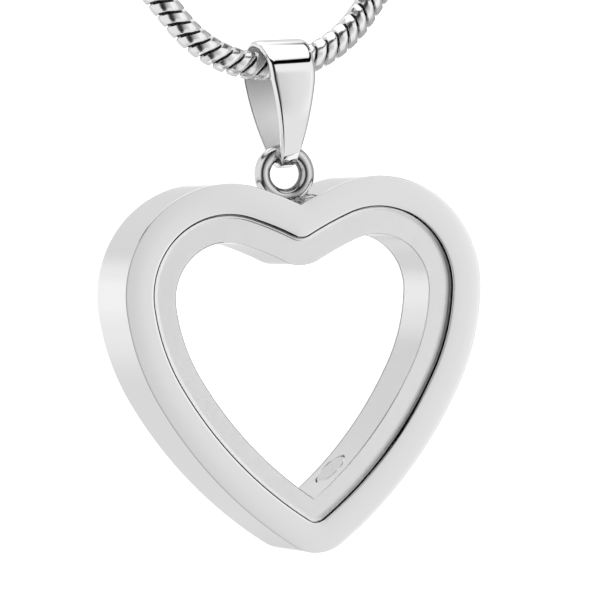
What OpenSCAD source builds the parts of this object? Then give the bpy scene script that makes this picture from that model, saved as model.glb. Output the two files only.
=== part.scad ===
// Heart-shaped keepsake pendant with two clear panes, on a tapered bail and a round snake chain.
// Millimetres. +Z is up and the heart faces -Y. The origin is at the nape, on the underside of the
// clasp, where the necklace hangs.

/* [Heart case] */
// Thickness of the case from its front face to its back face
case_t = 6.4; // [5.4:0.1:8]
// Rise of the case's edge on each side of the notch, in degrees
notch_rise = 27; // [22:1:32]
// Radius of the edge beside the notch
flank_r = 30; // [24:1:40]
// Turn of the edge beside the notch, in degrees
flank_turn = 7; // [4:1:10]
// Radius of each lobe
lobe_r = 8.8; // [7.5:0.1:11]
// Turn of each lobe, in degrees
lobe_turn = 115; // [108:1:120]
// Radius of each side below its lobe
side_r = 18.5; // [15:0.5:24]
// Turn of each side, in degrees
side_turn = 24; // [18:1:30]
// Radius of the long lower edges that meet at the tip
lower_r = 35; // [30:1:45]
// Rounding radius of the tip
tip_r = 3.6; // [3:0.1:4.2]
// Width of the polished rim around each pane
rim_w = 2.4; // [2:0.1:3]
// Width of the ledge under each pane
ledge_w = 1.95; // [1.2:0.05:2.4]
// How far the hole's heart lies below the rim's
hole_drop = 0.25; // [0:0.05:0.4]
// Rounding radius of the pane seat at the notch
seat_round = 1.3; // [0.6:0.1:2]
// Depth of the pane seat below the rim
seat_depth = 0.65; // [0.5:0.05:0.8]

/* [Panes] */
// Thickness of each clear pane
pane_t = 0.6; // [0.4:0.05:0.65]
// Gap between a pane and the wall of its seat
pane_gap = 0.08; // [0.05:0.01:0.15]
// Cement line between a pane and its ledge
pane_bed = 0.02; // [0.01:0.01:0.05]

/* [Fill screw] */
// Diameter of the threaded fill screw
screw_d = 3; // [2:0.1:3.6]
// Gap around the screw in its bore
screw_gap = 0.05; // [0.03:0.01:0.1]
// How far the screw's outer end lies below the case's edge
screw_sunk = 0.4; // [0.2:0.1:0.8]
// Direction of the screw's axis from the centre of the lower edge, in degrees
screw_angle = -48.5; // [-50:0.5:-38]
// Width of the driver slot
slot_w = 0.5; // [0.3:0.1:0.8]
// Depth of the driver slot
slot_depth = 0.7; // [0.4:0.1:1]

/* [Jump ring] */
// Radius of the ring to the middle of its wire
ring_r = 1.8; // [1.7:0.05:2.4]
// Diameter of the ring's wire
wire_d = 1.25; // [0.9:0.05:1.3]
// Depth by which the soldered ring sinks into the notch
ring_sunk = 0.25; // [0.15:0.05:0.5]
// Turn of the ring out of the heart's plane, in degrees
ring_turn = 9; // [0:1:12]

/* [Bail] */
// Height of the bail
bail_h = 10.2; // [8.5:0.1:14]
// Thickness of the bail's strip
bail_t = 0.5; // [0.4:0.05:0.8]
// Radius of the bail's rounded top, seen from the side
bail_top_r = 3.2; // [2.9:0.1:3.6]
// Radius of the bail's bulged leaves, seen from the side
bail_leaf_r = 10; // [6:0.5:14]
// Radius of the bail's foot, seen from the side
bail_foot_r = 1.8; // [1.7:0.05:2.1]
// Width of the strip at the top of the bail
bail_top_w = 4.4; // [3.6:0.1:5]
// Width of the strip at the shoulders
bail_shoulder_w = 3.7; // [2.8:0.1:3.8]
// Width of the strip at the foot
bail_foot_w = 1.25; // [0.8:0.05:1.3]
// Gap between the foot and the ring's wire
foot_gap = 0.2; // [0.17:0.01:0.3]
// Gap between the bail's top and the chain
bail_gap = 0.08; // [0.05:0.01:0.2]
// How far the bail hangs to the right of the chain's lowest point
bail_x = 0.5; // [0:0.1:1]

/* [Chain] */
// Length of the whole necklace, clasp included
chain_len = 500; // [400:10:600]
// Outer diameter of the round chain
chain_d = 2.3; // [1.8:0.1:2.4]
// Radius of the chain's bend through the bail
bend_r = 10; // [9:0.5:16]
// Lean of the chain's two straight legs from upright, in degrees
leg_lean = 38; // [30:1:45]

/* [Clasp] */
// Diameter of the clasp's barrel
clasp_d = 3.6; // [3:0.1:5]
// Length of the clasp
clasp_len = 14; // [10:1:20]
// Width of each end collar on the clasp
collar_w = 1.6; // [1:0.1:2.5]
// Depth of the barrel's waist between the collars
waist_depth = 0.3; // [0.1:0.1:0.6]

/* [Hidden] */
$fn = 64;

// Largest turn between two points of a drawn arc, in degrees
arc_step = 2.5;
// Sides of the chain's tube
tube_sides = 8;
// Stretches that the tube has in each neck arc, leg and bend
neck_steps = 24;
leg_steps = 11;
bend_steps = 4;
// Overshoot of a cut past the face it leaves
over = 1;

steel = [0.80, 0.80, 0.81];
satin_steel = [0.72, 0.72, 0.73];
clear_glass = [0.90, 0.95, 0.97, 0.35];

function along(a) = [cos(a), sin(a)];

// Points of an arc about c, without the last one
function arc(c, r, from, to) =
    let (n = max(1, ceil(abs(to - from) / arc_step)))
    [for (i = [0 : n - 1]) c + r * along(from + (to - from) * i / n)];

function mirrored(half) =
    concat(half, [for (i = [len(half) - 2 : -1 : 1]) [-half[i].x, half[i].y]]);

// The heart's outline is one run of tangent arcs on each side, drawn from the notch at [0, 0]
flank_from = 90 + notch_rise;
lobe_from = flank_from - flank_turn;
side_from = lobe_from - lobe_turn;
lower_from = side_from - side_turn;
flank_c = -flank_r * along(flank_from);
lobe_c = flank_c + (flank_r - lobe_r) * along(lobe_from);
side_c = lobe_c + (lobe_r - side_r) * along(side_from);
lower_c = side_c + (side_r - lower_r) * along(lower_from);

// Direction from an arc's centre to where the arc of radius r meets the heart's middle
function flank_end(r) = 180 - acos(flank_c.x / r);
function lower_end(r) = -acos(-lower_c.x / r);

// Insets under seat_bend keep the notch sharp, and insets over tip_r keep the tip sharp
seat_bend = rim_w - seat_round;
bend_from = flank_end(flank_r - seat_bend);
notch_c = [0, flank_c.y + (flank_r - seat_bend) * sin(bend_from)];
tip_from = lower_end(lower_r - tip_r);
tip_c = [0, lower_c.y + (lower_r - tip_r) * sin(tip_from)];

function notch_arc(inset) =
    inset > seat_bend ? arc(notch_c, inset - seat_bend, -90, bend_from - 180) : [];

function tip_arc(inset) =
    inset < tip_r
        ? concat(arc(tip_c, tip_r - inset, tip_from, -90), [tip_c - [0, tip_r - inset]])
        : [[0, lower_c.y + (lower_r - inset) * sin(lower_end(lower_r - inset))]];

function heart(inset) = mirrored(concat(
    notch_arc(inset),
    arc(flank_c, flank_r - inset, inset > seat_bend ? bend_from : flank_end(flank_r - inset), lobe_from),
    arc(lobe_c, lobe_r - inset, lobe_from, side_from),
    arc(side_c, side_r - inset, side_from, lower_from),
    arc(lower_c, lower_r - inset, lower_from, inset < tip_r ? tip_from : lower_end(lower_r - inset)),
    tip_arc(inset)
));

hole_inset = rim_w + ledge_w;
// Thickness of the case's wall along the screw's axis
screw_wall = hole_inset + hole_drop * sin(screw_angle);

// Each side of the loop has half the clasp, a neck arc, a straight leg and half a bend
clasp_half = clasp_len / 2;
neck_turn = 90 + leg_lean;
bend_turn = 90 - leg_lean;
leg_slope = 1 / tan(leg_lean);
clasp_reach = clasp_half / sin(leg_lean);
side_len = chain_len / 2 - clasp_half - clasp_reach;
neck_r = (side_len + bend_r * (leg_slope - bend_turn * PI / 180)) / (neck_turn * PI / 180 + leg_slope);
leg_len = clasp_reach + (neck_r - bend_r) * leg_slope;
loop_top = clasp_d / 2;
neck_c = [clasp_half, loop_top - neck_r];
leg_from = neck_c + neck_r * along(90 - neck_turn);
leg_way = [-sin(leg_lean), -cos(leg_lean)];
leg_to = leg_from + leg_len * leg_way;
bend_c = [0, leg_to.y + bend_r * cos(bend_turn)];

// Each point of the route has its place and the direction from the bend's inside to its outside
right_route = concat(
    [for (i = [0 : neck_steps - 1])
        let (a = 90 - neck_turn * i / neck_steps)
        [neck_c + neck_r * along(a), along(a)]],
    [for (i = [0 : leg_steps - 1])
        [leg_from + leg_len * leg_way * i / leg_steps, along(90 - neck_turn)]],
    [for (i = [0 : bend_steps])
        let (a = -leg_lean - bend_turn * i / bend_steps)
        [bend_c + bend_r * along(a), along(a)]]
);
route = concat(
    right_route,
    [for (i = [len(right_route) - 2 : -1 : 0])
        [[-right_route[i][0].x, right_route[i][0].y], [-right_route[i][1].x, right_route[i][1].y]]]
);

// Heights of the bail, the ring and the heart, each hung from the one above
bail_edge_x = bail_x + bail_top_w / 2;
bail_inner_top = bend_c.y - sqrt(pow(bend_r - chain_d / 2, 2) - pow(bail_edge_x, 2)) + bail_gap;
bail_top = bail_inner_top + bail_t;
wire_z = bail_top - bail_h + bail_t + foot_gap + wire_d / 2;
ring_z = wire_z - ring_r;
notch_z = ring_z - (ring_r + wire_d / 2) / cos(notch_rise) + ring_sunk;

// Side view of the bail, as [depth, height] from the middle of its top arc
foot_c = [0, bail_top_r + bail_foot_r - bail_h];
leaf_gap_top = bail_leaf_r - bail_top_r;
leaf_gap_foot = bail_leaf_r - bail_foot_r;
leaf_dz = (pow(leaf_gap_foot, 2) - pow(leaf_gap_top, 2) - pow(foot_c.y, 2)) / (2 * -foot_c.y);
leaf_c = [-sqrt(pow(leaf_gap_top, 2) - pow(leaf_dz, 2)), leaf_dz];
leaf_from = atan2(-leaf_c.y, -leaf_c.x);
leaf_to = atan2(foot_c.y - leaf_c.y, -leaf_c.x);

function bail_side(inset) = mirrored(concat(
    arc([0, 0], bail_top_r - inset, 90, leaf_from),
    arc(leaf_c, bail_leaf_r - inset, leaf_from, leaf_to),
    arc(foot_c, bail_foot_r - inset, leaf_to, -90),
    [foot_c - [0, bail_foot_r - inset]]
));

// Front view of the bail, where the strip narrows evenly along its bent length
bail_front = mirrored(concat(
    [[0, bail_top_r + over], [bail_top_w / 2, bail_top_r + over]],
    [for (a = [0 : 10 : 90])
        [(bail_top_w + (bail_shoulder_w - bail_top_w) * a / 90) / 2, bail_top_r * cos(a)]],
    [[bail_foot_w / 2, bail_top_r - bail_h], [bail_foot_w / 2, bail_top_r - bail_h - over],
        [0, bail_top_r - bail_h - over]]
));

// Stands a flat drawing up in the XZ plane, between two depths
module upright(y_from, y_to) {
    translate([0, y_to, 0]) rotate([90, 0, 0]) linear_extrude(y_to - y_from) children();
}

module hang_heart() {
    translate([bail_x, 0, notch_z]) children();
}

// Puts a shape on the screw's axis, with z = 0 on the case's inner wall and +Z outward
module on_screw_axis() {
    wall = lower_c - [0, hole_drop] + (lower_r - hole_inset) * along(screw_angle);
    hang_heart() translate([wall.x, 0, wall.y]) rotate([0, 90 - screw_angle, 0]) children();
}

module heart_plate(inset, y_from, y_to) {
    upright(y_from, y_to) polygon(heart(inset));
}

module jump_ring() {
    translate([bail_x, 0, ring_z]) rotate([90, 0, -ring_turn])
        rotate_extrude() translate([ring_r, 0]) circle(d = wire_d);
}

module heart_case() {
    seat_y = case_t / 2 - seat_depth;
    color(steel) union() {
        difference() {
            hang_heart() difference() {
                heart_plate(0, -case_t / 2, case_t / 2);
                translate([0, 0, -hole_drop])
                    heart_plate(hole_inset, -case_t / 2 - over, case_t / 2 + over);
                heart_plate(rim_w, -case_t / 2 - over, -seat_y);
                heart_plate(rim_w, seat_y, case_t / 2 + over);
            }
            on_screw_axis() translate([0, 0, -over])
                cylinder(d = screw_d + 2 * screw_gap, h = screw_wall + 2 * over);
        }
        jump_ring();
    }
}

module pane() {
    bed_y = case_t / 2 - seat_depth + pane_bed;
    hang_heart() heart_plate(rim_w + pane_gap, bed_y, bed_y + pane_t);
}

module front_pane() {
    color(clear_glass) mirror([0, 1, 0]) pane();
}

module back_pane() {
    color(clear_glass) pane();
}

module fill_screw() {
    screw_len = screw_wall - screw_sunk;
    color(satin_steel) on_screw_axis() difference() {
        cylinder(d = screw_d, h = screw_len);
        translate([-screw_d, -slot_w / 2, screw_len - slot_depth])
            cube([2 * screw_d, slot_w, slot_depth + over]);
    }
}

module bail() {
    color(steel) translate([bail_x, 0, bail_top - bail_top_r]) intersection() {
        rotate([90, 0, 90]) linear_extrude(bail_top_w + over, center = true) difference() {
            polygon(bail_side(0));
            polygon(bail_side(bail_t));
        }
        upright(-bail_top_r - over, bail_top_r + over) polygon(bail_front);
    }
}

// The chain is one round tube along its route, with flat ends against the clasp
module chain() {
    n = tube_sides;
    last = len(route) - 1;
    points = [for (p = route) for (k = [0 : n - 1])
        let (a = 360 * (k + 0.5) / n, out = p[1] * cos(a) * chain_d / 2)
        [p[0].x + out.x, sin(a) * chain_d / 2, p[0].y + out.y]];
    walls = [for (i = [0 : last - 1]) for (k = [0 : n - 1])
        let (next = (k + 1) % n)
        [i * n + k, i * n + next, (i + 1) * n + next, (i + 1) * n + k]];
    start_cap = [for (k = [n - 1 : -1 : 0]) k];
    end_cap = [for (k = [0 : n - 1]) last * n + k];
    color(satin_steel) polyhedron(points, concat([start_cap], walls, [end_cap]));
}

module clasp() {
    end_r = clasp_d / 2;
    waist_r = end_r - waist_depth;
    waist_half = clasp_half - collar_w;
    color(steel) translate([0, 0, loop_top]) rotate([0, 90, 0]) rotate_extrude() polygon([
        [0, -clasp_half], [end_r, -clasp_half], [end_r, -waist_half], [waist_r, -waist_half],
        [waist_r, waist_half], [end_r, waist_half], [end_r, clasp_half], [0, clasp_half]
    ]);
}

heart_case();
front_pane();
back_pane();
fill_screw();
bail();
chain();
clasp();
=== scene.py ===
"""A polished heart keepsake pendant on a round snake chain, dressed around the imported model."""

import logging
import math
from collections.abc import Callable, Sequence
from dataclasses import dataclass
from enum import Enum

import bmesh
import bpy
from mathutils import Matrix, Vector

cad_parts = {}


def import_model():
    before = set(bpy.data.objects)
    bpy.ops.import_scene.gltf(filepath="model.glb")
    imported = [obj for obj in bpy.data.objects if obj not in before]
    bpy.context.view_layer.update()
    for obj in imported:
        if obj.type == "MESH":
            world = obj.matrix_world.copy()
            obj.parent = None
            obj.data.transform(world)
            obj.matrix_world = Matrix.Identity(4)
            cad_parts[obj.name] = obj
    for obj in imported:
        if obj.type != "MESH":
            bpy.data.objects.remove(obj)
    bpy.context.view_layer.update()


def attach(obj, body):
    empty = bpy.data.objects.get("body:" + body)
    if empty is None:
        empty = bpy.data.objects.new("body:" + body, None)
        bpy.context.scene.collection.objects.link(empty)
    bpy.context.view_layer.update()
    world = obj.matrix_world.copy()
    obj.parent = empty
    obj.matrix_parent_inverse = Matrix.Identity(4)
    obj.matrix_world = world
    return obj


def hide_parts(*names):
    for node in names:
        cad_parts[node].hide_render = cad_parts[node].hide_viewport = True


log = logging.getLogger("pendant")

MM = 0.001
DOUBLES = 1e-7
COARSE_DOUBLES = 1e-6
WHITE = (1.0, 1.0, 1.0, 1.0)

Points = Sequence[tuple[float, float]]


class Side(Enum):
    """The face of the case that a pane closes, as the sign of its depth."""

    FRONT = -1
    BACK = 1


class Zone(Enum):
    """The zones of the case's surface, as material slots. The crease, shade, lip and ring zones carry
    painted shade; the others differ only in finish.
    """

    POLISHED = 0
    SEAT = 1
    CREASE = 2
    LIP = 3
    RING = 4
    SOLDER = 5
    SHADE = 6


class StripFace(Enum):
    """The faces of the bail's strip that differ in finish, as material slots. The inside and the inner
    corners also carry painted shade.
    """

    OUTSIDE = 0
    INSIDE = 1
    INNER_CORNER = 2


# Shader sockets and nodes


class Value:
    """A number socket in a node tree that Python's operators add Math nodes to."""

    def __init__(self, web: "NodeWeb", socket: bpy.types.NodeSocket) -> None:
        """Keeps the tree and the socket."""
        self.web = web
        self.socket = socket

    def _math(self, operation: str, first: object, second: object = None) -> "Value":
        """Adds one Math node.

        Args:
            operation: The Math node's operation.
            first: The first value or number.
            second: The second value or number, where the operation has one.

        Returns:
            The node's result.
        """
        inputs = {0: first} if second is None else {0: first, 1: second}
        return self.web.value("ShaderNodeMath", {"operation": operation}, inputs)

    def __add__(self, other: object) -> "Value":
        """Value + other."""
        return self._math("ADD", self, other)

    def __radd__(self, other: object) -> "Value":
        """Other + value."""
        return self._math("ADD", other, self)

    def __sub__(self, other: object) -> "Value":
        """Value - other."""
        return self._math("SUBTRACT", self, other)

    def __rsub__(self, other: object) -> "Value":
        """Other - value."""
        return self._math("SUBTRACT", other, self)

    def __mul__(self, other: object) -> "Value":
        """Value * other."""
        return self._math("MULTIPLY", self, other)

    def __rmul__(self, other: object) -> "Value":
        """Other * value."""
        return self._math("MULTIPLY", other, self)

    def __abs__(self) -> "Value":
        """Size without the sign."""
        return self._math("ABSOLUTE", self)

    def __neg__(self) -> "Value":
        """Value with its sign turned."""
        return self._math("MULTIPLY", self, -1.0)


class NodeWeb:
    """A shader node tree that is built node by node."""

    def __init__(self, tree: bpy.types.NodeTree) -> None:
        """Empties the tree and keeps it."""
        tree.nodes.clear()
        self.tree = tree

    def node(self, kind: str, settings: dict | None = None, inputs: dict | None = None) -> bpy.types.Node:
        """Adds a node.

        Args:
            kind: The node's type.
            settings: Its properties, which are set first. A ramp's stops go under "stops".
            inputs: Socket name or number to a number, colour, Value or socket.

        Returns:
            The new node.
        """
        made = self.tree.nodes.new(kind)
        for key, setting in (settings or {}).items():
            if key == "stops":
                self._set_stops(made.color_ramp, setting)
            else:
                setattr(made, key, setting)
        for key, given in (inputs or {}).items():
            source = given.socket if isinstance(given, Value) else given
            if isinstance(source, bpy.types.NodeSocket):
                self.tree.links.new(source, made.inputs[key])
            else:
                made.inputs[key].default_value = source
        return made

    @staticmethod
    def _set_stops(ramp: bpy.types.ColorRamp, stops: Points) -> None:
        """Gives a grey ramp its stops.

        Args:
            ramp: The ramp of a fresh node.
            stops: Position and brightness of each stop, both from 0 to 1.
        """
        ramp.interpolation = "EASE"
        while len(ramp.elements) < len(stops):
            ramp.elements.new(1.0)
        for element, (position, grey) in zip(ramp.elements, stops):
            element.position = position
            element.color = (grey, grey, grey, 1.0)

    def value(
        self, kind: str, settings: dict | None = None, inputs: dict | None = None, out: object = 0
    ) -> Value:
        """Adds a node and wraps one of its outputs, as node() does."""
        return Value(self, self.node(kind, settings, inputs).outputs[out])

    def smooth(self, given: Value, low: float, high: float) -> Value:
        """A soft step that is 0 up to low and 1 from high."""
        inputs = {"Value": given, "From Min": low, "From Max": high}
        return self.value("ShaderNodeMapRange", {"interpolation_type": "SMOOTHSTEP"}, inputs)

    def band(self, given: Value, edges: tuple[float, float, float, float]) -> Value:
        """A soft band that is 1 between its two inner edges and 0 outside the two outer ones."""
        return self.smooth(given, *edges[:2]) * (1.0 - self.smooth(given, *edges[2:]))

    def graph(self, given: Value, points: Points, top: float) -> Value:
        """A smooth graph through points.

        Args:
            given: The value along the graph.
            points: Place and height of each point, in rising order of place.
            top: A height that no point is over.

        Returns:
            The graph's height at the value.
        """
        low, high = points[0][0], points[-1][0]
        place = self.value("ShaderNodeMapRange", None, {"Value": given, "From Min": low, "From Max": high})
        stops = [((x - low) / (high - low), y / top) for x, y in points]
        grey = self.value("ShaderNodeValToRGB", {"stops": stops}, {"Fac": place}, "Color")
        return grey * top

    def blend(self, low: object, high: object, factor: Value) -> Value:
        """Goes from low to high as the factor goes from 0 to 1."""
        return low + (high - low) * factor if isinstance(low, Value) else factor * (high - low) + low


# Finishes


@dataclass(frozen=True)
class SteelFinish:
    """Stainless steel, from mirror polished to satin.

    The roughness drifts by clouding over patches of cloud_mm, and a fine bump of dimple_mm stands
    for the waves that a buffing wheel leaves. Where brush_mm isn't 0, brush lines of that width run
    along Z, brush_stretch times as long. The colour darkens to the share deepest of itself: in the
    bump's pattern by the share mottle, and by the rest between the two places of fade_mm, which is
    painted shade. Those are measured along fade_way, or from fade_point where one is given. A
    metallic below 1 stands for a whitish surface.
    """

    name: str
    colour: tuple[float, float, float]
    roughness: float
    clouding: float
    cloud_mm: float
    dimple_mm: float
    dimple_strength: float
    brush_mm: float = 0.0
    mottle: float = 1.0
    deepest: float = 1.0
    fade_mm: tuple[float, float] | None = None
    fade_way: tuple[float, float, float] = (0.0, 0.0, 1.0)
    fade_point: tuple[float, float, float] | None = None
    metallic: float = 1.0
    bump_mm: float = 0.02
    brush_stretch: float = 50.0

    def material(self) -> bpy.types.Material:
        """Builds the steel's material.

        Returns:
            The material.
        """
        made = bpy.data.materials.new(self.name)
        made.use_nodes = True
        web = NodeWeb(made.node_tree)
        place = web.node("ShaderNodeTexCoord").outputs["Object"]
        cloud = self._noise(web, place, self.cloud_mm)
        dimple = self._noise(web, place, self.dimple_mm)
        if self.brush_mm:
            fine = 1.0 / (self.brush_mm * MM)
            scale = (fine, fine, fine / self.brush_stretch)
            stretch = web.node("ShaderNodeMapping", None, {"Vector": place, "Scale": scale})
            noise_in = {"Vector": stretch.outputs[0], "Scale": 1.0, "Detail": 2.0}
            dimple = web.value("ShaderNodeTexNoise", None, noise_in, "Fac")
        bump_in = {"Strength": self.dimple_strength, "Distance": self.bump_mm * MM, "Height": dimple}
        inputs = {
            "Metallic": self.metallic,
            "Roughness": self.roughness + (cloud - 0.5) * self.clouding,
            "Normal": web.node("ShaderNodeBump", None, bump_in).outputs[0],
            "Base Color": (*self.colour, 1.0),
        }
        if self.deepest < 1.0:
            inputs["Base Color"] = self._mottled_and_shaded(web, place, dimple)
        shader = web.node("ShaderNodeBsdfPrincipled", None, inputs)
        web.node("ShaderNodeOutputMaterial", None, {"Surface": shader.outputs[0]})
        return made

    def _mottled_and_shaded(self, web: NodeWeb, place: bpy.types.NodeSocket, dimple: Value) -> bpy.types.NodeSocket:
        """Mixes the colour with its deepest share, by the bump's pattern and by the fade of painted shade.

        Args:
            web: The material's nodes.
            place: The Object coordinates.
            dimple: The bump's pattern.

        Returns:
            The mixed colour.
        """
        dark = dimple * self.mottle
        if self.fade_mm:
            measure, other = "DOT_PRODUCT", self.fade_way
            if self.fade_point:
                measure, other = "DISTANCE", Vector(self.fade_point) * MM
            inputs = {0: place, 1: other}
            reach = web.value("ShaderNodeVectorMath", {"operation": measure}, inputs, "Value")
            low, high = (edge * MM for edge in self.fade_mm)
            dark += web.smooth(reach, low, high) * (1.0 - self.mottle)
        deep = tuple(c * self.deepest for c in self.colour)
        colours = {"Factor": dark, 6: (*self.colour, 1.0), 7: (*deep, 1.0)}
        return web.node("ShaderNodeMix", {"data_type": "RGBA"}, colours).outputs[2]

    @staticmethod
    def _noise(web: NodeWeb, place: bpy.types.NodeSocket, size_mm: float) -> Value:
        """A cloudy noise with patches of about size_mm."""
        inputs = {"Vector": place, "Scale": 1.0 / (size_mm * MM), "Detail": 3.0}
        return web.value("ShaderNodeTexNoise", None, inputs, "Fac")


@dataclass(frozen=True)
class PaneFinish:
    """Clear polished glass, with the faintest smears where a noise is over smear_from."""

    name: str
    colour: tuple[float, float, float]
    index: float
    smear_mm: float
    smear_from: float = 0.6
    smear_to: float = 0.9
    smeared: float = 0.02

    def material(self) -> bpy.types.Material:
        """Builds the glass's material.

        Returns:
            The material.
        """
        made = bpy.data.materials.new(self.name)
        made.use_nodes = True
        web = NodeWeb(made.node_tree)
        place = web.node("ShaderNodeTexCoord").outputs["Object"]
        smear_in = {"Vector": place, "Scale": 1.0 / (self.smear_mm * MM)}
        smear = web.value("ShaderNodeTexNoise", None, smear_in, "Fac")
        inputs = {
            "Base Color": (*self.colour, 1.0),
            "Roughness": web.smooth(smear, self.smear_from, self.smear_to) * self.smeared,
            "IOR": self.index,
            "Transmission Weight": 1.0,
        }
        shader = web.node("ShaderNodeBsdfPrincipled", None, inputs)
        web.node("ShaderNodeOutputMaterial", None, {"Surface": shader.outputs[0]})
        return made


POLISHED = SteelFinish(
    name="polished_steel",
    colour=(0.83, 0.83, 0.835),
    roughness=0.05,
    clouding=0.03,
    cloud_mm=3.0,
    dimple_mm=1.2,
    dimple_strength=0.02,
)
SEAT = SteelFinish(
    name="seat_steel",
    colour=(0.95, 0.95, 0.955),
    roughness=0.30,
    clouding=0.06,
    cloud_mm=1.5,
    dimple_mm=0.12,
    dimple_strength=0.25,
    deepest=0.94,
)
# Painted shade: the seat wall under the rim, a strip at its foot and the bail's inner corners are dark,
# darker still towards the upper right.
CREASE = SteelFinish(
    name="crease_painted_shade",
    colour=(0.62, 0.62, 0.625),
    roughness=0.14,
    clouding=0.04,
    cloud_mm=1.5,
    dimple_mm=0.3,
    dimple_strength=0.1,
    mottle=0.15,
    deepest=0.3,
    fade_mm=(-127.5, -120.5),
    fade_way=(0.8, 0.0, 0.6),
)
# Painted shade: a near-black line on the rounded lip of the hole, on its left as each face is seen.
LIP_SHADE = SteelFinish(
    name="lip_painted_shade",
    colour=(0.28, 0.28, 0.285),
    roughness=0.20,
    clouding=0.04,
    cloud_mm=1.5,
    dimple_mm=0.3,
    dimple_strength=0.1,
)
# Painted shade: a dark strip on the ledge beside the seat wall, darkest at the top of the left lobe and
# fading out lower down.
SHADE = SteelFinish(
    name="shade_steel",
    colour=(0.95, 0.95, 0.955),
    roughness=0.30,
    clouding=0.06,
    cloud_mm=1.5,
    dimple_mm=0.12,
    dimple_strength=0.25,
    mottle=0.05,
    deepest=0.12,
    fade_mm=(-181.2, -177.6),
    fade_way=(-0.35, 0.0, 0.94),
)
# Painted shade: the ring's colour darkens towards its hole, between 1.75 mm and 1.2 mm from its middle.
RING_STEEL = SteelFinish(
    name="ring_steel",
    colour=(0.72, 0.72, 0.725),
    roughness=0.18,
    clouding=0.04,
    cloud_mm=1.0,
    dimple_mm=0.4,
    dimple_strength=0.06,
    mottle=0.05,
    deepest=0.22,
    fade_mm=(1.75, 1.2),
    fade_point=(0.5, 0.0, -185.205),
)
SOLDER = SteelFinish(
    name="solder",
    colour=(0.62, 0.62, 0.625),
    roughness=0.16,
    clouding=0.10,
    cloud_mm=0.6,
    dimple_mm=0.3,
    dimple_strength=0.6,
    deepest=0.2,
)
# Brush lines, and painted shade: the colour darkens towards the top of the bail's inside.
BRUSHED = SteelFinish(
    name="brushed_steel",
    colour=(0.97, 0.97, 0.972),
    roughness=0.45,
    clouding=0.06,
    cloud_mm=2.0,
    dimple_mm=0.3,
    dimple_strength=0.2,
    brush_mm=0.06,
    mottle=0.1,
    deepest=0.5,
    fade_mm=(-181.0, -176.8),
    metallic=0.05,
)
SATIN = SteelFinish(
    name="satin_steel",
    colour=(0.76, 0.76, 0.765),
    roughness=0.22,
    clouding=0.08,
    cloud_mm=0.8,
    dimple_mm=0.2,
    dimple_strength=0.2,
)
CHAIN_STEEL = SteelFinish(
    name="chain_steel",
    colour=(0.88, 0.88, 0.885),
    roughness=0.20,
    clouding=0.08,
    cloud_mm=0.9,
    dimple_mm=0.5,
    dimple_strength=0.1,
)
# Painted shade: a near-black core inside the chain that shows in the gaps between the rings.
CORE_SHADE = SteelFinish(
    name="chain_core_painted_shade",
    colour=(0.05, 0.05, 0.052),
    roughness=0.55,
    clouding=0.06,
    cloud_mm=0.9,
    dimple_mm=0.5,
    dimple_strength=0.2,
)
CLEAR_PANE = PaneFinish(
    name="clear_pane",
    colour=(1.0, 1.0, 1.0),
    index=1.5,
    smear_mm=6.0,
)


# Modelling in edit mode


def deselect_all() -> None:
    """Leaves edit mode and deselects every object."""
    if bpy.context.mode != "OBJECT":
        bpy.ops.object.mode_set(mode="OBJECT")
    bpy.ops.object.select_all(action="DESELECT")


def pick(piece: bpy.types.Object) -> None:
    """Makes a piece the only one that is selected.

    Args:
        piece: The object to select.
    """
    deselect_all()
    piece.select_set(True)
    bpy.context.view_layer.objects.active = piece


def select_verts(piece: bpy.types.Object, test: Callable[[int, Vector], bool]) -> None:
    """Selects a piece's vertices in edit mode.

    Args:
        piece: The object in edit mode.
        test: Says of each vertex's number and place whether it is wanted.
    """
    shape = bmesh.from_edit_mesh(piece.data)
    for vert in shape.verts:
        vert.select = bool(test(vert.index, vert.co))
    shape.select_flush_mode()
    bmesh.update_edit_mesh(piece.data)


def apply_modifier(piece: bpy.types.Object, kind: str, **settings: object) -> None:
    """Adds a modifier, sets it up and applies it.

    Args:
        piece: The object that gets it.
        kind: The modifier's type.
        **settings: Its properties.
    """
    pick(piece)
    modifier = piece.modifiers.new(kind.lower(), kind)
    for key, setting in settings.items():
        setattr(modifier, key, setting)
    bpy.ops.object.modifier_apply(modifier=modifier.name)


def close_up(piece: bpy.types.Object, doubles: float = DOUBLES) -> None:
    """Merges a piece's doubles and turns its faces outwards.

    Args:
        piece: The object.
        doubles: How near two vertices count as one, in metres.
    """
    pick(piece)
    bpy.ops.object.mode_set(mode="EDIT")
    bpy.ops.mesh.select_all(action="SELECT")
    bpy.ops.mesh.remove_doubles(threshold=doubles)
    bpy.ops.mesh.dissolve_degenerate(threshold=doubles)
    bpy.ops.mesh.normals_make_consistent(inside=False)
    bpy.ops.object.mode_set(mode="OBJECT")


def move_mesh(piece: bpy.types.Object, shift: Vector) -> None:
    """Moves a piece's mesh and leaves its object at the origin.

    Args:
        piece: The object.
        shift: How far to move it, in metres.
    """
    pick(piece)
    bpy.ops.object.mode_set(mode="EDIT")
    bpy.ops.mesh.select_all(action="SELECT")
    bpy.ops.transform.translate(value=shift)
    bpy.ops.object.mode_set(mode="OBJECT")


def place_mesh(piece: bpy.types.Object) -> None:
    """Puts an object's place, turn and scale into its mesh."""
    pick(piece)
    bpy.ops.object.transform_apply(location=True, rotation=True, scale=True)


def shade(piece: bpy.types.Object, degrees: float) -> None:
    """Shades a piece smoothly where its faces meet under an angle."""
    pick(piece)
    bpy.ops.object.shade_smooth_by_angle(angle=math.radians(degrees))


def join(pieces: list[bpy.types.Object], name: str) -> bpy.types.Object:
    """Joins pieces into the first one and names it.

    Args:
        pieces: The objects, with the one that stays first.
        name: The joined object's name.

    Returns:
        The joined object.
    """
    pick(pieces[0])
    for piece in pieces[1:]:
        piece.select_set(True)
    bpy.ops.object.join()
    pieces[0].name = name
    return pieces[0]


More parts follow.
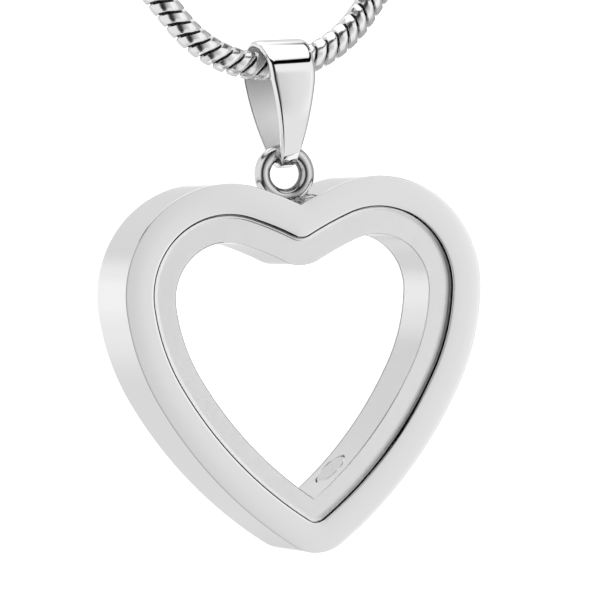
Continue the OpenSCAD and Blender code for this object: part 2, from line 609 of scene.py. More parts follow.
def hand_over(piece: bpy.types.Object, body: str, node: str) -> None:
    """Sets a finished piece in the frame.

    Args:
        piece: The finished object.
        body: The body that it rides on.
        node: The node that it replaces.
    """
    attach(piece, body)
    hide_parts(node)
    piece.data.validate()
    log.info("%s: %d faces, on %s", piece.name, len(piece.data.polygons), body)


def along(start: tuple[float, float], reach: float, angle: float) -> tuple[float, float]:
    """The point at a reach from the start, in a direction."""
    return (start[0] + reach * math.cos(angle), start[1] + reach * math.sin(angle))


def quarter_turn(steps: int) -> list[float]:
    """The angles from 0 to 90 degrees in equal steps, in radians."""
    return [math.pi / 2 * i / steps for i in range(steps + 1)]


@dataclass(frozen=True)
class Arc:
    """One arc in the XZ plane, in millimetres and radians."""

    centre: tuple[float, float]
    radius: float
    start: float
    end: float
    steps: int

    def point(self, angle: float) -> tuple[float, float]:
        """The place on the arc at an angle."""
        return along(self.centre, self.radius, angle)


class ArcSkin:
    """A skin over runs of tangent arcs. Each run is one vertex that is spun round its arcs in turn."""

    def __init__(self, name: str) -> None:
        """Starts the mesh from a plane that is deleted down to nothing.

        Args:
            name: The piece's name.
        """
        deselect_all()
        bpy.ops.mesh.primitive_plane_add(size=MM)
        self.piece = bpy.context.active_object
        self.piece.name = name
        bpy.ops.object.mode_set(mode="EDIT")
        bpy.ops.mesh.select_all(action="SELECT")
        bpy.ops.mesh.delete(type="VERT")
        self.runs: list[tuple[int, int]] = []

    def run(self, arcs: list[Arc], depth: float) -> None:
        """Draws one run.

        Args:
            arcs: Its arcs from start to end, each starting where the last one ends.
            depth: Its place along Y, in millimetres.
        """
        first = len(bmesh.from_edit_mesh(self.piece.data).verts)
        x, z = arcs[0].point(arcs[0].start)
        bpy.ops.mesh.select_all(action="DESELECT")
        bpy.ops.mesh.primitive_plane_add(size=MM, location=(x * MM, depth * MM, z * MM))
        bpy.ops.mesh.merge(type="CENTER")
        self.go_round(arcs, depth)
        self.runs.append((first, len(bmesh.from_edit_mesh(self.piece.data).verts)))

    def go_round(self, arcs: list[Arc], depth: float) -> None:
        """Spins the selected vertex on round arcs, at a depth in millimetres.

        Args:
            arcs: The arcs, the first of which starts at the vertex.
            depth: Their place along Y.
        """
        for arc in arcs:
            bpy.ops.mesh.spin(
                steps=arc.steps,
                angle=arc.end - arc.start,
                center=(arc.centre[0] * MM, depth * MM, arc.centre[1] * MM),
                axis=(0.0, 1.0, 0.0),
            )

    def straight(self, way: tuple[float, float]) -> None:
        """Extrudes the selected vertex straight on, by x and z in millimetres."""
        shift = (way[0] * MM, 0.0, way[1] * MM)
        bpy.ops.mesh.extrude_vertices_move(TRANSFORM_OT_translate={"value": shift})

    def bridge(self, low: int, high: int) -> None:
        """Bridges two runs with a band of faces.

        Args:
            low: The first run's number.
            high: The other run's number.
        """
        bands = (self.runs[low], self.runs[high])
        select_verts(self.piece, lambda i, co: any(a <= i < b for a, b in bands))
        bpy.ops.mesh.bridge_edge_loops(type="SINGLE")

    def bridge_all(self) -> None:
        """Bridges every run to the next one."""
        for i in range(len(self.runs) - 1):
            self.bridge(i, i + 1)

    def dress(self, low: int, high: int, slot: int) -> None:
        """Gives the faces from one run to another the material of a slot.

        Args:
            low: The first run's number.
            high: The last run's number.
            slot: The slot's number.
        """
        first, last = self.runs[low][0], self.runs[high][1]
        bpy.ops.mesh.select_all(action="DESELECT")
        select_verts(self.piece, lambda i, co: first <= i < last)
        self.piece.active_material_index = slot
        bpy.ops.object.material_slot_assign()

    def done(self) -> bpy.types.Object:
        """Leaves edit mode.

        Returns:
            The object.
        """
        bpy.ops.object.mode_set(mode="OBJECT")
        return self.piece


def turned(name: str, section: Points, sides: int) -> bpy.types.Object:
    """Turns a section round the Z axis, as on a lathe.

    Args:
        name: The piece's name.
        section: Radius and height of each corner, in millimetres.
        sides: How many steps go round.

    Returns:
        The turned object.
    """
    deselect_all()
    r, z = section[0]
    bpy.ops.mesh.primitive_plane_add(size=MM, location=(r * MM, 0.0, z * MM))
    piece = bpy.context.active_object
    piece.name = name
    place_mesh(piece)
    bpy.ops.object.mode_set(mode="EDIT")
    bpy.ops.mesh.select_all(action="SELECT")
    bpy.ops.mesh.merge(type="CENTER")
    for (r0, z0), (r1, z1) in zip(section, section[1:]):
        shift = ((r1 - r0) * MM, 0.0, (z1 - z0) * MM)
        bpy.ops.mesh.extrude_vertices_move(TRANSFORM_OT_translate={"value": shift})
    bpy.ops.mesh.select_all(action="SELECT")
    bpy.ops.mesh.spin(steps=sides, angle=2 * math.pi, center=(0.0, 0.0, 0.0), axis=(0.0, 0.0, 1.0))
    bpy.ops.object.mode_set(mode="OBJECT")
    close_up(piece, COARSE_DOUBLES)
    return piece


@dataclass(frozen=True)
class HeartOutline:
    """The heart's outline as tangent arcs, at any inset, from the notch at (0, 0) round to the tip.

    Lengths are in millimetres and angles in degrees. Up to bend_inset the notch is sharp, and past
    the tip's radius so is the tip.
    """

    rise: float = 27.0
    flank_r: float = 30.0
    flank_turn: float = 7.0
    lobe_r: float = 8.8
    lobe_turn: float = 115.0
    side_r: float = 18.5
    side_turn: float = 24.0
    lower_r: float = 35.0
    tip_r: float = 3.6
    bend_inset: float = 1.1

    def arcs(self, inset: float, drop: float = 0.0) -> list[Arc]:
        """Works out the right half of the outline.

        Args:
            inset: Its distance inside the case's edge.
            drop: How far the whole outline is moved down.

        Returns:
            Its six arcs. One that has shrunk to a corner keeps its steps at radius 0.
        """
        lobe_from = math.radians(90.0 + self.rise - self.flank_turn)
        side_from = lobe_from - math.radians(self.lobe_turn)
        lower_from = side_from - math.radians(self.side_turn)
        flank = along((0.0, -drop), -self.flank_r, math.radians(90.0 + self.rise))
        lobe = along(flank, self.flank_r - self.lobe_r, lobe_from)
        side = along(lobe, self.lobe_r - self.side_r, side_from)
        lower = along(side, self.side_r - self.lower_r, lower_from)

        bend = max(0.0, inset - self.bend_inset)
        sharp = min(inset, self.bend_inset)
        flank_from = math.pi - math.acos(flank[0] / (self.flank_r - sharp))
        notch = (0.0, flank[1] + (self.flank_r - sharp) * math.sin(flank_from))
        tip = max(0.0, self.tip_r - inset)
        round_from = max(inset, self.tip_r)
        lower_to = -math.acos(-lower[0] / (self.lower_r - round_from))
        point = (0.0, lower[1] + (self.lower_r - round_from) * math.sin(lower_to))
        return [
            Arc(notch, bend, -math.pi / 2, flank_from - math.pi, 8),
            Arc(flank, self.flank_r - inset, flank_from, lobe_from, 4),
            Arc(lobe, self.lobe_r - inset, lobe_from, side_from, 46),
            Arc(side, self.side_r - inset, side_from, lower_from, 12),
            Arc(lower, self.lower_r - inset, lower_from, lower_to, 16),
            Arc(point, tip, lower_to, -math.pi / 2, 10),
        ]


# The heart


@dataclass(frozen=True)
class HeartCase:
    """The case with its soldered jump ring.

    Sizes are in millimetres, from the notch at (0, 0). The hole's lip has no painted shade line within
    notch_x of the middle above notch_z, and the narrow bands support_t and support_w keep the shading
    tight.
    """

    outline: HeartOutline
    place: Vector
    half_t: float = 3.2
    rim_w: float = 2.4
    ledge_w: float = 1.95
    hole_drop: float = 0.25
    seat_depth: float = 0.65
    crown: float = 0.022
    edge_r: float = 0.06
    seat_edge_r: float = 0.12
    crease_shade_w: float = 0.08
    shade_w: float = 0.22
    lip_r: float = 0.07
    lip_shade_w: float = 0.2
    notch_x: float = 6.5
    notch_z: float = -6.0
    support_t: float = 0.1
    support_w: float = 0.05
    crown_parts: tuple[float, ...] = (0.06, 0.25, 0.5, 0.75, 0.94)
    screw_bore: float = 3.1
    screw_angle: float = -48.5
    drill_len: float = 8.0
    ring_r: float = 1.8
    wire_d: float = 1.25
    ring_above: float = 2.472
    ring_turn: float = 9.0
    solder_size: tuple[float, float, float] = (0.65, 0.7, 0.35)
    solder_at: tuple[float, float, float] = (0.8, -1.3, 0.3)
    lump: float = 0.45
    lump_height: float = 0.3

    def section(self) -> list[tuple[Zone, float, float, float]]:
        """Lists the case's section from the middle of its edge over the rim to the hole's middle.

        Returns:
            Zone, inset, depth and drop of each corner. The zone is that of the faces before it.
        """
        hole = self.rim_w + self.ledge_w
        seat = self.half_t - self.seat_depth
        rim = self.half_t - self.crown
        turns = quarter_turn(4)
        edge, corner, lip = self.edge_r, self.seat_edge_r, self.lip_r
        high = self.rim_w - corner
        outside = [(0.0, 0.0), (0.0, rim - edge - self.support_t)]
        outside += [(edge * (1 - math.cos(a)), rim - edge * (1 - math.sin(a))) for a in turns]
        for part in self.crown_parts:
            outside.append((edge + (high - edge) * part, rim + self.crown * (1 - (2 * part - 1) ** 2)))
        outside.append((high, rim))
        outside += [(high + corner * math.sin(a), rim - corner * (1 - math.cos(a))) for a in turns[1:]]
        # The seat wall and the strip at its foot carry the crease's painted shade, and the strip after
        # them the ledge's painted shade.
        foot = self.rim_w + self.crease_shade_w
        wall = [(self.rim_w, seat), (foot, seat)]
        shade = [(foot + self.shade_w / 2, seat), (foot + self.shade_w, seat)]
        ledge = [(hole - lip - self.support_w, seat), (hole - lip, seat)]
        rounding = [(hole - lip * (1 - math.sin(a)), seat - lip * (1 - math.cos(a))) for a in turns[1:]]
        rounding.append((hole, seat - lip - self.lip_shade_w))
        inside = [(hole, 0.0)]
        groups = [
            (Zone.POLISHED, 0.0, outside),
            (Zone.CREASE, 0.0, wall),
            (Zone.SHADE, 0.0, shade),
            (Zone.SEAT, self.hole_drop, ledge),
            (Zone.LIP, self.hole_drop, rounding),
            (Zone.POLISHED, self.hole_drop, inside),
        ]
        return [(zone, *point, drop) for zone, drop, points in groups for point in points]

    def frame(self) -> bpy.types.Object:
        """Models the case's frame as a quarter that is mirrored both ways.

        Returns:
            The frame, with a material slot for each zone.
        """
        skin = ArcSkin("heart_frame")
        section = self.section()
        for _, inset, depth, drop in section:
            skin.run(self.outline.arcs(inset, drop), -depth)
        skin.bridge_all()
        for _ in Zone:
            bpy.ops.object.material_slot_add()
        for i in range(1, len(section)):
            if section[i][0] is not Zone.POLISHED:
                skin.dress(i - 1, i, section[i][0].value)
        piece = skin.done()
        close_up(piece)
        apply_modifier(piece, "MIRROR", use_axis=(True, True, False), merge_threshold=COARSE_DOUBLES)
        close_up(piece)
        return piece

    def bored(self, piece: bpy.types.Object) -> bpy.types.Object:
        """Cuts the fill screw's bore through the lower right wall.

        Args:
            piece: The frame.

        Returns:
            The frame with its bore.
        """
        angle = math.radians(self.screw_angle)
        lower = self.outline.arcs(0.0, self.hole_drop)[4]
        reach = lower.radius - (self.rim_w + self.ledge_w) / 2
        x, z = along(lower.centre, reach, angle)
        deselect_all()
        bpy.ops.mesh.primitive_cylinder_add(
            vertices=64,
            radius=self.screw_bore / 2 * MM,
            depth=self.drill_len * MM,
            location=(x * MM, 0.0, z * MM),
            rotation=(0.0, math.pi / 2 - angle, 0.0),
        )
        drill = bpy.context.active_object
        apply_modifier(piece, "BOOLEAN", operation="DIFFERENCE", object=drill, solver="EXACT")
        bpy.data.objects.remove(drill)
        return piece

    def ring(self) -> bpy.types.Object:
        """Models the jump ring as a circle that is spun.

        Returns:
            The ring.
        """
        deselect_all()
        bpy.ops.mesh.primitive_circle_add(
            vertices=28,
            radius=self.wire_d / 2 * MM,
            location=(self.ring_r * MM, 0.0, self.ring_above * MM),
        )
        piece = bpy.context.active_object
        bpy.ops.object.mode_set(mode="EDIT")
        bpy.ops.mesh.select_all(action="SELECT")
        bpy.ops.mesh.spin(
            steps=84,
            angle=2 * math.pi,
            center=(0.0, 0.0, self.ring_above * MM),
            axis=(0.0, -1.0, 0.0),
        )
        bpy.ops.object.mode_set(mode="OBJECT")
        place_mesh(piece)
        piece.rotation_euler.z = -math.radians(self.ring_turn)
        place_mesh(piece)
        close_up(piece, COARSE_DOUBLES)
        return piece

    def solder(self) -> bpy.types.Object:
        """Models the lumpy mound of solder that holds the ring in the notch.

        Returns:
            The mound.
        """
        deselect_all()
        bpy.ops.mesh.primitive_ico_sphere_add(subdivisions=5, radius=MM)
        piece = bpy.context.active_object
        bpy.ops.object.mode_set(mode="EDIT")
        bpy.ops.mesh.select_all(action="SELECT")
        bpy.ops.transform.resize(value=self.solder_size)
        bpy.ops.transform.translate(value=Vector(self.solder_at) * MM)
        bpy.ops.object.mode_set(mode="OBJECT")
        lumps = bpy.data.textures.new("solder_lumps", "CLOUDS")
        lumps.noise_scale = self.lump * MM
        lumps.noise_depth = 1
        apply_modifier(piece, "DISPLACE", texture=lumps, strength=self.lump_height * MM, mid_level=0.6)
        return piece

    def build(self, finishes: dict[Zone, bpy.types.Material]) -> None:
        """Models, dresses and hands over the case.

        Args:
            finishes: The material of each zone.
        """
        body = self.bored(self.frame())
        self._trim_lip_shade(body)
        ring, solder = self.ring(), self.solder()
        for part, zone in ((ring, Zone.RING), (solder, Zone.SOLDER)):
            part.data.materials.append(finishes[zone])
        for zone in Zone:
            body.material_slots[zone.value].material = finishes[zone]
        shade(body, 32.0)
        shade(ring, 60.0)
        shade(solder, 40.0)
        piece = join([body, ring, solder], "heart_case_steel")
        move_mesh(piece, self.place)
        hand_over(piece, "heart", "heart_case")

    def _trim_lip_shade(self, body: bpy.types.Object) -> None:
        """Keeps the lip's painted shade line only left of the hole, as each face of the case is seen.

        Args:
            body: The frame, before it is moved to its place.
        """
        for face in body.data.polygons:
            x, y, z = face.center / MM
            in_notch = abs(x) < self.notch_x and z > self.notch_z
            if face.material_index == Zone.LIP.value and (x * y < 0.0 or in_notch):
                face.material_index = Zone.POLISHED.value


@dataclass(frozen=True)
class Pane:
    """One clear pane with a ground bevel. Sizes are in millimetres."""

    outline: HeartOutline
    place: Vector
    side: Side
    edge_inset: float = 2.48
    low: float = 2.57
    high: float = 3.17
    bevel_w: float = 0.2
    bevel_t: float = 0.16

    def build(self, glass: bpy.types.Material) -> None:
        """Models, dresses and hands over the pane.

        Args:
            glass: The pane's material.
        """
        name = f"{self.side.name.lower()}_pane"
        skin = ArcSkin(f"{name}_glass")
        bevel = self.high - self.bevel_t
        section = [
            (self.edge_inset, self.low),
            (self.edge_inset, bevel),
            (self.edge_inset + self.bevel_w, self.high),
        ]
        for inset, depth in section:
            skin.run(self.outline.arcs(inset), depth * self.side.value)
        skin.bridge_all()
        piece = skin.done()
        close_up(piece)
        apply_modifier(piece, "MIRROR", use_axis=(True, False, False), merge_threshold=COARSE_DOUBLES)
        pick(piece)
        bpy.ops.object.mode_set(mode="EDIT")
        for level in (self.low, self.high):
            bpy.ops.mesh.select_all(action="DESELECT")
            depth = level * self.side.value * MM
            select_verts(piece, lambda i, co, depth=depth: abs(co.y - depth) < COARSE_DOUBLES)
            bpy.ops.mesh.edge_face_add()
        bpy.ops.object.mode_set(mode="OBJECT")
        close_up(piece)
        piece.data.materials.append(glass)
        shade(piece, 25.0)
        move_mesh(piece, self.place)
        hand_over(piece, "heart", name)


@dataclass(frozen=True)
class FillScrew:
    """The slotted fill screw, on its axis from the hole's wall outwards. Sizes are in millimetres."""

    outline: HeartOutline
    place: Vector
    hole_inset: float = 4.35
    hole_drop: float = 0.25
    axis_angle: float = -48.5
    screw_d: float = 3.0
    length: float = 3.76
    pitch: float = 0.5
    groove: float = 0.14
    groove_share: float = 0.95
    chamfer: float = 0.12
    slot_w: float = 0.5
    slot_depth: float = 0.7
    slot_len: float = 4.0

    def section(self) -> list[tuple[float, float]]:
        """Lists radius and height of the screw's section, up its threaded side.

        Returns:
            The section's corners, in millimetres.
        """
        r = self.screw_d / 2
        points = [(0.0, 0.0), (r - self.chamfer, 0.0), (r, self.chamfer)]
        z = self.chamfer + self.pitch / 2
        while z + self.pitch < self.length - self.chamfer:
            foot = (r - self.groove, z + self.pitch / 2)
            points += [(r, z), foot, (r, z + self.pitch * self.groove_share)]
            z += self.pitch
        points += [(r, self.length - self.chamfer), (r - self.chamfer, self.length), (0.0, self.length)]
        return points

    def build(self, satin: bpy.types.Material) -> None:
        """Models, dresses and hands over the screw.

        Args:
            satin: The screw's material.
        """
        piece = turned("fill_screw_steel", self.section(), 48)
        deselect_all()
        slot = Vector((self.slot_len, self.slot_w, 2.0 * self.slot_depth)) * MM
        bpy.ops.mesh.primitive_cube_add(size=1.0, scale=slot)
        cutter = bpy.context.active_object
        cutter.location.z = self.length * MM
        place_mesh(cutter)
        apply_modifier(piece, "BOOLEAN", operation="DIFFERENCE", object=cutter, solver="EXACT")
        bpy.data.objects.remove(cutter)
        angle = math.radians(self.axis_angle)
        lower = self.outline.arcs(0.0, self.hole_drop)[4]
        x, z = along(lower.centre, lower.radius - self.hole_inset, angle)
        piece.rotation_euler = (0.0, math.pi / 2 - angle, 0.0)
        piece.location = Vector((x, 0.0, z)) * MM + self.place
        place_mesh(piece)
        piece.data.materials.append(satin)
        shade(piece, 30.0)
        hand_over(piece, "screw", "fill_screw")


@dataclass(frozen=True)
class Bail:
    """The folded strip that hangs on the chain. Sizes are in millimetres, from its top arc's centre."""

    place: Vector
    height: float = 10.2
    strip_t: float = 0.5
    top_r: float = 3.2
    leaf_r: float = 10.0
    foot_r: float = 1.8
    top_w: float = 4.4
    shoulder_w: float = 3.7
    foot_w: float = 1.25
    roll_w: float = 0.6
    roll_t: float = 0.3
    inner_r: float = 0.07

    def side_arcs(self, inset: float) -> list[Arc]:
        """Works out the half outline of the bail seen from the side, from its top to its foot.

        Args:
            inset: Its distance inside the strip's outer face.

        Returns:
            Its three arcs.
        """
        foot_z = self.top_r + self.foot_r - self.height
        reach_top, reach_foot = self.leaf_r - self.top_r, self.leaf_r - self.foot_r
        leaf_z = (reach_foot**2 - reach_top**2 - foot_z**2) / (-2 * foot_z)
        leaf_x = -math.sqrt(reach_top**2 - leaf_z**2)
        leaf_from = math.atan2(-leaf_z, -leaf_x)
        leaf_to = math.atan2(foot_z - leaf_z, -leaf_x)
        return [
            Arc((0.0, 0.0), self.top_r - inset, math.pi / 2, leaf_from, 28),
            Arc((leaf_x, leaf_z), self.leaf_r - inset, leaf_from, leaf_to, 28),
            Arc((0.0, foot_z), self.foot_r - inset, leaf_to, -math.pi / 2, 12),
        ]

    def section(self) -> list[tuple[float, float]]:
        """Lists the strip's section from its outer middle round to its inner middle.

        Returns:
            Distance from the middle and inset of each corner, at the strip's top width.
        """
        half = self.top_w / 2
        roll_w, roll_t, inner = self.roll_w, self.roll_t, self.inner_r
        points = [(0.0, 0.0)]
        for a in quarter_turn(6):
            points.append((half - roll_w * (1 - math.sin(a)), roll_t * (1 - math.cos(a))))
        for a in quarter_turn(2):
            points.append((half - inner * (1 - math.cos(a)), self.strip_t - inner * (1 - math.sin(a))))
        return points + [(0.0, self.strip_t)]

    def width(self, x: float, z: float) -> float:
        """The strip's width at a point of its side outline.

        Args:
            x: The point's distance from the middle plane.
            z: Its height over the top arc's centre.

        Returns:
            The width there.
        """
        if z > 0.0:
            part = math.atan2(x, z) / (math.pi / 2)
            return self.top_w + (self.shoulder_w - self.top_w) * part
        return self.shoulder_w + (self.foot_w - self.shoulder_w) * -z / (self.height - self.top_r)

    def build(self, finishes: dict[StripFace, bpy.types.Material]) -> None:
        """Models, dresses and hands over the bail.

        Args:
            finishes: The material of each face of the strip.
        """
        skin = ArcSkin("bail_steel")
        right = self.section()
        left = [(-y, inset) for y, inset in right[-2:0:-1]]
        for y, inset in right + left:
            skin.run(self.side_arcs(inset), y)
        skin.bridge_all()
        skin.bridge(0, len(skin.runs) - 1)
        self._taper(skin)
        piece = skin.piece
        for face in StripFace:
            piece.data.materials.append(finishes[face])
        # The inside gets brushed steel darkened towards the top as painted shade, and the inner corners
        # the crease's painted shade.
        middle = len(right) - 1
        skin.dress(middle - 1, middle + 1, StripFace.INSIDE.value)
        for corner in (middle - 3, middle + 1):
            skin.dress(corner, corner + 2, StripFace.INNER_CORNER.value)
        skin.done()
        piece.rotation_euler.z = math.pi / 2
        place_mesh(piece)
        apply_modifier(piece, "MIRROR", use_axis=(False, True, False), merge_threshold=COARSE_DOUBLES)
        close_up(piece)
        shade(piece, 35.0)
        move_mesh(piece, self.place)
        hand_over(piece, "bail", "bail")

    def _taper(self, skin: ArcSkin) -> None:
        """Scales each cross line of the skin to the strip's width there.

        Args:
            skin: The strip at its top width all along.
        """
        first, last = skin.runs[0]
        places = [v.co.copy() for v in bmesh.from_edit_mesh(skin.piece.data).verts]
        for i in range(last - first):
            x, z = places[first + i].x / MM, places[first + i].z / MM
            line = {run[0] + i for run in skin.runs}
            select_verts(skin.piece, lambda n, co, line=line: n in line)
            share = self.width(x, z) / self.top_w
            bpy.ops.transform.resize(value=(1.0, share, 1.0), center_override=(0.0, 0.0, 0.0))


@dataclass(frozen=True)
class SnakeChain:
    """The closed chain of waved rings. Sizes are in millimetres."""

    clasp_half: float = 7.0
    loop_top: float = 1.8
    neck_r: float = 66.977
    leg_lean: float = 38.0
    leg_len: float = 84.297
    bend_r: float = 10.0
    rings: int = 434
    pitch: float = 1.12
    sides: int = 12
    tilt: float = 0.5
    wave: float = 0.14
    inside_r: float = 0.9
    same_way: float = 0.99
    ring_section: Points = (
        (0.84, 0.05),
        (1.06, 0.07),
        (1.13, 0.16),
        (1.15, 0.52),
        (1.11, 0.92),
        (0.84, 1.00),
    )
    core_r: float = 0.8
    neck_steps: int = 96
    bend_steps: int = 52

    def route(self) -> bpy.types.Object:
        """Draws the chain's middle line as a curve, from the clasp's right end round to its left end.

        Returns:
            The curve.
        """
        lean = math.radians(self.leg_lean)
        neck_z = self.loop_top - self.neck_r
        to_x = self.bend_r * math.cos(lean)
        from_z = neck_z - self.neck_r * math.sin(lean)
        down = self.leg_len * math.cos(lean)
        bend_z = from_z - down + self.bend_r * math.sin(lean)
        across = self.clasp_half + self.neck_r * math.cos(lean) - to_x
        top = math.pi / 2
        skin = ArcSkin("chain_route")
        neck = Arc((self.clasp_half, neck_z), self.neck_r, top, -lean, self.neck_steps)
        bend = Arc((0.0, bend_z), self.bend_r, -lean, lean - math.pi, self.bend_steps)
        far_neck = Arc((-self.clasp_half, neck_z), self.neck_r, math.pi + lean, top, self.neck_steps)
        skin.run([neck], 0.0)
        skin.straight((-across, -down))
        skin.go_round([bend], 0.0)
        skin.straight((-across, down))
        skin.go_round([far_neck], 0.0)
        piece = skin.done()
        pick(piece)
        bpy.ops.object.convert(target="CURVE")
        return bpy.context.active_object

    def ring(self) -> bpy.types.Object:
        """Models one waved ring round the X axis, open through its middle.

        Returns:
            The ring.
        """
        piece = turned("chain_rings", self.ring_section, self.sides)
        piece.rotation_euler.y = math.pi / 2
        place_mesh(piece)
        pick(piece)
        bpy.ops.object.mode_set(mode="EDIT")
        bpy.ops.mesh.select_all(action="DESELECT")
        select_verts(piece, lambda i, co: math.hypot(co.y, co.z) < self.inside_r * MM)
        bpy.ops.mesh.bridge_edge_loops(type="SINGLE")
        for k in range(self.sides):
            angle = 2 * math.pi * k / self.sides
            way = Vector((-math.cos(angle), math.sin(angle)))
            shift = self.tilt * math.sin(angle) + self.wave * math.sin(2 * angle)
            select_verts(piece, lambda i, co, way=way: co.yz.normalized().dot(way) > self.same_way)
            bpy.ops.transform.translate(value=(shift * MM, 0.0, 0.0))
        bpy.ops.object.mode_set(mode="OBJECT")
        close_up(piece)
        return piece

    def core(self, route: bpy.types.Object) -> bpy.types.Object:
        """Models the painted shade between the rings, as a near-black tube along the route.

        Args:
            route: The chain's middle line.

        Returns:
            The tube.
        """
        pick(route)
        bpy.ops.object.duplicate()
        piece = bpy.context.active_object
        piece.data.bevel_depth = self.core_r * MM
        piece.data.bevel_resolution = 3
        piece.data.use_fill_caps = True
        bpy.ops.object.convert(target="MESH")
        close_up(bpy.context.active_object)
        return bpy.context.active_object

    def build(self, steel: bpy.types.Material, dark: bpy.types.Material) -> None:
        """Models, dresses and hands over the chain.

        Args:
            steel: The material of the rings.
            dark: The near-black material of the core, painted shade between them.
        """
        route = self.route()
        piece = self.ring()
        core = self.core(route)
        apply_modifier(
            piece,
            "ARRAY",
            count=self.rings,
            use_relative_offset=False,
            use_constant_offset=True,
            constant_offset_displace=(self.pitch * MM, 0.0, 0.0),
        )
        apply_modifier(piece, "CURVE", object=route, deform_axis="POS_X")
        bpy.data.objects.remove(route)
        piece.data.materials.append(steel)
        core.data.materials.append(dark)
        shade(piece, 50.0)
        shade(core, 50.0)
        piece = join([piece, core], "chain_rings")
        hand_over(piece, "necklace", "chain")


@dataclass(frozen=True)
class Clasp:
    """The closed barrel clasp at the nape. Sizes are in millimetres."""

    half: float = 7.0
    end_r: float = 1.8
    waist_r: float = 1.5
    collar_w: float = 1.6
    edge: float = 0.15

    def build(self, polished: bpy.types.Material) -> None:
        """Models, dresses and hands over the clasp.

        Args:
            polished: The clasp's material.
        """
        waist = self.half - self.collar_w
        section = [
            (0.0, -self.half),
            (self.end_r, -self.half),
            (self.end_r, -waist),
            (self.waist_r, -waist),
            (self.waist_r, waist),
            (self.end_r, waist),
            (self.end_r, self.half),
            (0.0, self.half),
        ]
        piece = turned("clasp_steel", section, 64)
        apply_modifier(
            piece,
            "BEVEL",
            width=self.edge * MM,
            segments=3,
            limit_method="ANGLE",
            angle_limit=math.radians(50.0),
        )
        piece.rotation_euler.y = math.pi / 2
        piece.location.z = self.end_r * MM
        place_mesh(piece)
        piece.data.materials.append(polished)
        shade(piece, 35.0)
        hand_over(piece, "necklace", "clasp")


# Studio


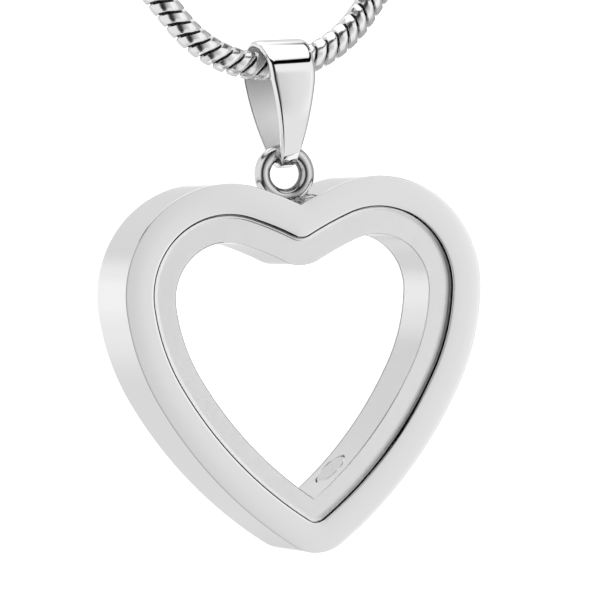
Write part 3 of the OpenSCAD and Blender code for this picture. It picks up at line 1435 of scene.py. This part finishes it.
@dataclass(frozen=True)
class Studio:
    """The white floor, the soft light all round and the camera.

    Lengths are in metres and angles in degrees. Light comes from every way, by its height over the
    horizon and its turn from the front to the right. A graph lists angles with the brightness
    there, up to graph_top, and edges are the angles between which one brightness goes over into
    the next.
    """

    look_at: Vector
    yaw: float = -22.6
    pitch: float = 1.9
    roll: float = 2.9
    distance: float = 0.4
    slide: tuple[float, float] = (-0.00074, -0.00002)
    lens: float = 302.4
    floor_z: float = -0.30
    floor_size: float = 30.0
    graph_top: float = 2.0
    behind: Points = (
        (-90, 0.80), (-30, 0.76), (-18, 0.80), (-9, 0.96), (-3, 1.04), (4, 1.04),
        (9, 0.96), (16, 0.78), (30, 0.80), (48, 1.30), (90, 1.70),
    )
    behind_right: Points = (
        (-90, 0.80), (-30, 0.74), (-17, 0.70), (-11, 0.82), (-7, 1.05), (-5, 1.25), (3, 1.25),
        (6, 0.90), (10, 0.78), (18, 0.76), (30, 0.80), (48, 1.30), (90, 1.70),
    )
    level: Points = (
        (-180, 1.00), (-60, 1.00), (-44, 0.80), (-36, 0.12), (-26, 0.02), (-14, 0.04), (-6, 0.25),
        (4, 0.52), (12, 0.66), (17, 0.75), (24, 0.88), (32, 1.08), (60, 0.95), (75, 0.50), (180, 0.45),
    )
    above: float = 1.02
    below: float = 0.92
    overhead: float = 1.35
    dark_strip: float = 0.02
    grey_card: float = 0.5
    above_edges: tuple[float, float] = (14.0, 26.0)
    below_edges: tuple[float, float] = (-30.0, -14.0)
    overhead_edges: tuple[float, float] = (53.0, 58.0)
    card_edges: tuple[float, float] = (55.0, 80.0)
    side_edges: tuple[float, float] = (135.0, 150.0)
    strip_edges: tuple[float, float, float, float] = (-46.0, -36.0, -10.0, 4.0)
    gap_edges: tuple[float, float, float, float] = (39.5, 42.5, 50.5, 53.0)
    right_shares: tuple[float, float] = (0.1, 0.3)

    def build(self) -> None:
        """Builds the camera, the floor and the light."""
        self.camera()
        self.floor()
        self.light()

    def camera(self) -> None:
        """Sets the camera up at the photograph's angle."""
        yaw, pitch, roll = (math.radians(a) for a in (self.yaw, self.pitch, self.roll))
        back = Vector((math.sin(yaw) * math.cos(pitch), -math.cos(yaw) * math.cos(pitch), math.sin(pitch)))
        level = (-back).cross(Vector((0.0, 0.0, 1.0))).normalized()
        upright = level.cross(-back)
        right = level * math.cos(roll) - upright * math.sin(roll)
        up = level * math.sin(roll) + upright * math.cos(roll)
        data = bpy.data.cameras.new("camera")
        data.lens = self.lens
        data.sensor_width = 36.0
        data.clip_start, data.clip_end = 0.01, 20.0
        camera = bpy.data.objects.new("camera", data)
        place = self.look_at + back * self.distance - right * self.slide[0] - up * self.slide[1]
        camera.matrix_world = Matrix.Translation(place) @ Matrix((right, up, back)).transposed().to_4x4()
        bpy.context.scene.collection.objects.link(camera)
        bpy.context.scene.camera = camera

    def floor(self) -> None:
        """Lays a wide pale floor that the polished metal doesn't mirror."""
        deselect_all()
        bpy.ops.mesh.primitive_plane_add(size=self.floor_size, location=(0.0, 0.0, self.floor_z))
        floor = bpy.context.active_object
        floor.name = "floor"
        floor.visible_glossy = False
        floor.visible_transmission = False
        made = bpy.data.materials.new("floor_paper")
        made.use_nodes = True
        web = NodeWeb(made.node_tree)
        inputs = {
            "Base Color": (0.92, 0.92, 0.92, 1.0),
            "Roughness": 0.9,
            "Emission Color": WHITE,
            "Emission Strength": 0.3,
        }
        shader = web.node("ShaderNodeBsdfPrincipled", None, inputs)
        web.node("ShaderNodeOutputMaterial", None, {"Surface": shader.outputs[0]})
        floor.data.materials.append(made)

    def light(self) -> None:
        """Lights the scene all round: softboxes with dark gaps between them, by height and by turn."""
        world = bpy.data.worlds.new("studio")
        world.use_nodes = True
        bpy.context.scene.world = world
        bpy.context.scene.view_settings.view_transform = "Standard"
        web = NodeWeb(world.node_tree)
        way = web.node("ShaderNodeTexCoord").outputs["Generated"]
        parts = web.node("ShaderNodeSeparateXYZ", None, {0: way}).outputs
        x, y, z = (Value(web, part) for part in parts)
        height = web.value("ShaderNodeMath", {"operation": "ARCSINE"}, {0: z}) * math.degrees(1.0)
        turn = web.value("ShaderNodeMath", {"operation": "ARCTAN2"}, {0: x, 1: -y}) * math.degrees(1.0)
        front = self._front_light(web, height, turn)
        back = self._back_light(web, height, x)
        glow = web.blend(front, back, web.smooth(abs(turn), *self.side_edges))
        shader = web.node("ShaderNodeBackground", None, {"Color": WHITE, "Strength": glow})
        web.node("ShaderNodeOutputWorld", None, {"Surface": shader.outputs[0]})

    def _back_light(self, web: NodeWeb, height: Value, x: Value) -> Value:
        """The light from behind the pendant, brighter at its level on the right.

        Args:
            web: The world's nodes.
            height: The direction's height in degrees.
            x: The share of the direction that goes right.

        Returns:
            The brightness.
        """
        behind = web.graph(height, self.behind, self.graph_top)
        right = web.graph(height, self.behind_right, self.graph_top)
        return web.blend(behind, right, web.smooth(x, *self.right_shares))

    def _front_light(self, web: NodeWeb, height: Value, turn: Value) -> Value:
        """The light from the front: a dark strip, a grey card at the right and a dark gap overhead.

        Args:
            web: The world's nodes.
            height: The direction's height in degrees.
            turn: Its turn from the front to the right, in degrees.

        Returns:
            The brightness.
        """
        level = web.graph(turn, self.level, self.graph_top)
        strip = web.band(turn, self.strip_edges)
        card = web.smooth(turn, *self.card_edges)
        high = web.blend(web.blend(self.above, self.dark_strip, strip), self.grey_card, card)
        low = web.blend(web.blend(self.below, self.dark_strip, strip), self.grey_card, card)
        front = web.blend(level, high, web.smooth(height, *self.above_edges))
        front = web.blend(front, low, 1.0 - web.smooth(height, *self.below_edges))
        front = web.blend(front, self.overhead, web.smooth(height, *self.overhead_edges))
        return front * (1.0 - web.band(height, self.gap_edges))


# Main


def main() -> None:
    """Builds the pendant's pieces in order, then the studio."""
    logging.basicConfig(level=logging.INFO, format="%(message)s")
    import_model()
    polished, glass = POLISHED.material(), CLEAR_PANE.material()
    heart_at, bail_at, look_at = (Vector((0.5, 0.0, z)) * MM for z in (-187.677, -177.73, -195.23))
    outline = HeartOutline()
    crease = CREASE.material()
    case_finishes = {
        Zone.POLISHED: polished,
        Zone.SEAT: SEAT.material(),
        Zone.CREASE: crease,
        Zone.SHADE: SHADE.material(),
        Zone.LIP: LIP_SHADE.material(),
        Zone.RING: RING_STEEL.material(),
        Zone.SOLDER: SOLDER.material(),
    }
    strip_finishes = {
        StripFace.OUTSIDE: polished,
        StripFace.INSIDE: BRUSHED.material(),
        StripFace.INNER_CORNER: crease,
    }
    HeartCase(outline, heart_at).build(case_finishes)
    for side in Side:
        Pane(outline, heart_at, side).build(glass)
    FillScrew(outline, heart_at).build(SATIN.material())
    Bail(bail_at).build(strip_finishes)
    SnakeChain().build(CHAIN_STEEL.material(), CORE_SHADE.material())
    Clasp().build(polished)
    Studio(look_at).build()


if __name__ == "__main__":
    main()
